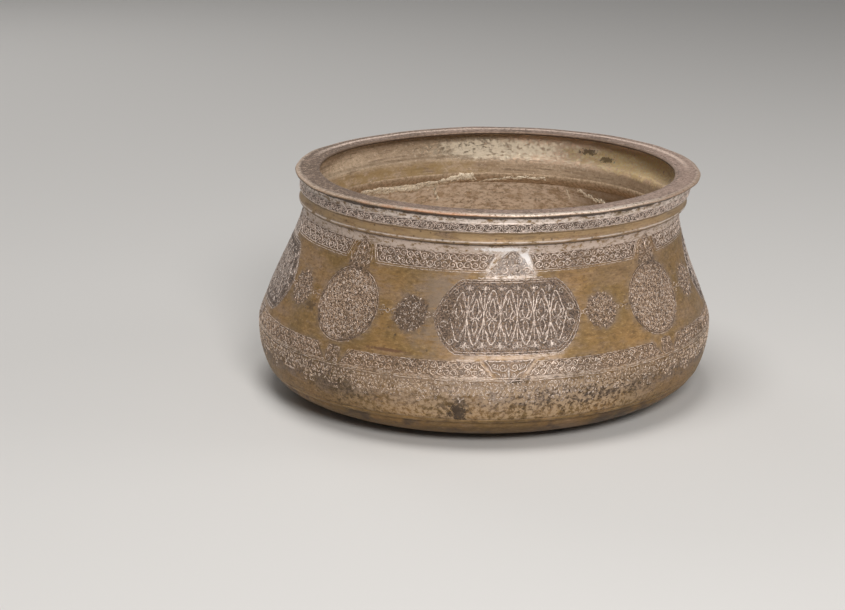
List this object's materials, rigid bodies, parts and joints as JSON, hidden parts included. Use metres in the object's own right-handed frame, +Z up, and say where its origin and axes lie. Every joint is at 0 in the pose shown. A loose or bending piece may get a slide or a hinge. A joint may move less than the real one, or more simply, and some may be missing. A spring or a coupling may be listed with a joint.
{
  "type": "tinned copper basin",
  "caption": "Round-bellied tinned copper basin with a turned neck, a flat rim and engraved bands and medallions, open at the top and standing on its flattened base.",
  "frame": {"origin": "centre of the flat base, on the surface that the basin stands on", "axes": "+Z up, out of the mouth; +X towards the side that the mouth stands over"},
  "size_m": [0.2516, 0.2516, 0.1245],
  "materials": {
    "tinned_rim": "tinned copper, worn and pitted, with copper showing on the edge",
    "tinned_neck": "tinned copper, turned and engraved, with brown patina",
    "engraved_wall": "engraved copper with worn tinning and golden brown patina",
    "worn_bottom": "hammered copper, dark patina",
    "soft_solder": "dull, crusted solder",
    "brazing": "filed brazing, dark patina"
  },
  "bodies": {
    "root": {"rim_ring": "tinned_rim", "rim_solder": "soft_solder", "neck_collar": "tinned_neck", "collar_solder": "soft_solder", "body_wall": "engraved_wall", "bottom_pan": "worn_bottom", "seam_braze": "brazing"}
  },
  "joints": []
}
